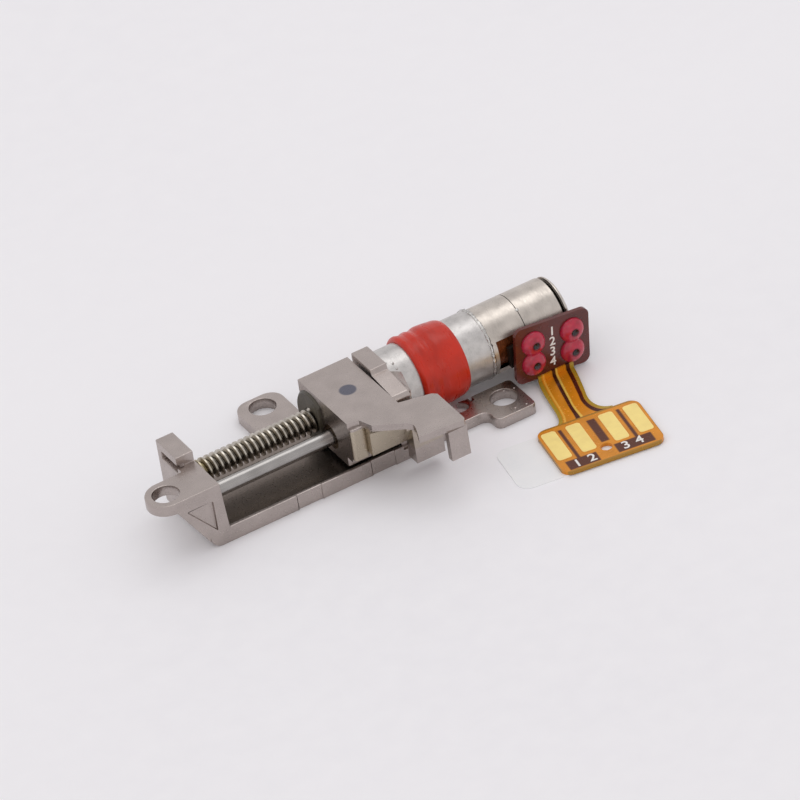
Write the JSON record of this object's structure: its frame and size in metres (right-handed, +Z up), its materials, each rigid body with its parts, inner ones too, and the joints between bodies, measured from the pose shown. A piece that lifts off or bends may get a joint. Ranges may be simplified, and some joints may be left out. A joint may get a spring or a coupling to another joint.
{
  "type": "micro linear stepper actuator",
  "caption": "Micro linear actuator: stepper motor with planetary gearbox turns a lead screw that draws a slider along a rod in a metal bracket.",
  "frame": {"origin": "on the bracket's flat foot, under the screw axis, in line with the front wall's inner face", "axes": "+X along the lead screw towards the motor, +Z up from the foot, and the slider's wing reaches towards -Y"},
  "size_m": [0.0345, 0.0221, 0.0058],
  "materials": {
    "nickel_alloy": "bead-blasted nickel-plated steel",
    "brass": "turned brass",
    "ground_steel": "ground and polished steel",
    "satin_steel": "satin stainless steel",
    "can_steel": "brushed stainless steel",
    "gear_steel": "sintered steel",
    "screw_steel": "rolled steel thread",
    "silicone": "glossy orange-red silicone",
    "bobbin_plastic": "black liquid-crystal polymer",
    "nut_plastic": "dark acetal",
    "copper_wire": "enamelled copper winding",
    "tinned_brass": "tinned terminal wire",
    "board_film": "dark red-brown coated circuit film",
    "solder_lacquer": "magenta lacquer over solder",
    "flex_film": "amber polyimide over copper",
    "gold_plate": "gold-plated copper",
    "liner_film": "frosted release film",
    "magnet": "bonded ferrite magnet"
  },
  "bodies": {
    "frame": {"bracket": "nickel_alloy", "front_bush": "brass", "guide_rod": "ground_steel", "gearbox_housing": "satin_steel", "output_bearing": "brass", "ring_gear": "gear_steel", "damping_sleeve": "silicone", "front_motor_plate": "satin_steel", "front_motor_bearing": "brass", "rear_motor_bearing": "brass", "front_stator_can": "can_steel", "rear_stator_can": "can_steel", "front_claw_yoke": "gear_steel", "rear_claw_yoke": "gear_steel", "front_bobbin": "bobbin_plastic", "rear_bobbin": "bobbin_plastic", "front_coil": "copper_wire", "rear_coil": "copper_wire", "rear_end_plate": "can_steel", "weld_ring": "satin_steel", "terminal_block": "bobbin_plastic", "terminal_pins": "tinned_brass", "solder_board": "board_film", "solder_blobs": "solder_lacquer", "flex_tail": "flex_film", "pad_strip": "flex_film", "contact_pads": "gold_plate", "release_liner": "liner_film"},
    "slider": {"slider": "nickel_alloy", "drive_nut": "nut_plastic", "guide_bush": "brass"},
    "screw": {"lead_screw": "screw_steel", "output_carrier": "gear_steel"},
    "first_carrier": {"first_carrier": "gear_steel", "second_stage_sun": "gear_steel"},
    "rotor": {"motor_shaft": "ground_steel", "rotor_magnet": "magnet", "first_stage_sun": "gear_steel"},
    "first_stage_planet_1": {"first_stage_planet_1": "gear_steel"},
    "first_stage_planet_2": {"first_stage_planet_2": "gear_steel"},
    "first_stage_planet_3": {"first_stage_planet_3": "gear_steel"},
    "second_stage_planet_1": {"second_stage_planet_1": "gear_steel"},
    "second_stage_planet_2": {"second_stage_planet_2": "gear_steel"},
    "second_stage_planet_3": {"second_stage_planet_3": "gear_steel"}
  },
  "joints": [
    {"name": "slider_travel", "type": "slide", "parent": "frame", "child": "slider", "axis": [1, 0, 0], "range_m": [-0.009, 0]},
    {"name": "screw_spin", "type": "hinge", "parent": "frame", "child": "screw", "pos_m": [0, 0, 0.0029], "axis": [1, 0, 0], "range_deg": [-1, 7201]},
    {"name": "first_carrier_spin", "type": "hinge", "parent": "frame", "child": "first_carrier", "pos_m": [0.01755, 0, 0.0029], "axis": [1, 0, 0], "range_deg": [-4, 28804]},
    {"name": "rotor_spin", "type": "hinge", "parent": "frame", "child": "rotor", "pos_m": [0.022, 0, 0.0029], "axis": [1, 0, 0], "range_deg": [-16, 115216]},
    {"name": "second_stage_planet_1_spin", "type": "hinge", "parent": "screw", "child": "second_stage_planet_1", "pos_m": [0.01755, 0.00117, 0.0029], "axis": [1, 0, 0], "range_deg": [-21603, 3]},
    {"name": "second_stage_planet_2_spin", "type": "hinge", "parent": "screw", "child": "second_stage_planet_2", "pos_m": [0.01755, -0.00059, 0.00391], "axis": [1, 0, 0], "range_deg": [-21603, 3]},
    {"name": "second_stage_planet_3_spin", "type": "hinge", "parent": "screw", "child": "second_stage_planet_3", "pos_m": [0.01755, -0.00059, 0.00189], "axis": [1, 0, 0], "range_deg": [-21603, 3]},
    {"name": "first_stage_planet_1_spin", "type": "hinge", "parent": "first_carrier", "child": "first_stage_planet_1", "pos_m": [0.0196, 0.00117, 0.0029], "axis": [1, 0, 0], "range_deg": [-86412, 12]},
    {"name": "first_stage_planet_2_spin", "type": "hinge", "parent": "first_carrier", "child": "first_stage_planet_2", "pos_m": [0.0196, -0.00059, 0.00391], "axis": [1, 0, 0], "range_deg": [-86412, 12]},
    {"name": "first_stage_planet_3_spin", "type": "hinge", "parent": "first_carrier", "child": "first_stage_planet_3", "pos_m": [0.0196, -0.00059, 0.00189], "axis": [1, 0, 0], "range_deg": [-86412, 12]}
  ],
  "couplings": [
    {"joint": "screw_spin", "follows": "slider_travel", "rad_per_m": -13963},
    {"joint": "first_carrier_spin", "follows": "slider_travel", "rad_per_m": -55851},
    {"joint": "rotor_spin", "follows": "slider_travel", "rad_per_m": -223400},
    {"joint": "second_stage_planet_1_spin", "follows": "slider_travel", "rad_per_m": 41888},
    {"joint": "second_stage_planet_2_spin", "follows": "slider_travel", "rad_per_m": 41888},
    {"joint": "second_stage_planet_3_spin", "follows": "slider_travel", "rad_per_m": 41888},
    {"joint": "first_stage_planet_1_spin", "follows": "slider_travel", "rad_per_m": 167550},
    {"joint": "first_stage_planet_2_spin", "follows": "slider_travel", "rad_per_m": 167550},
    {"joint": "first_stage_planet_3_spin", "follows": "slider_travel", "rad_per_m": 167550}
  ]
}
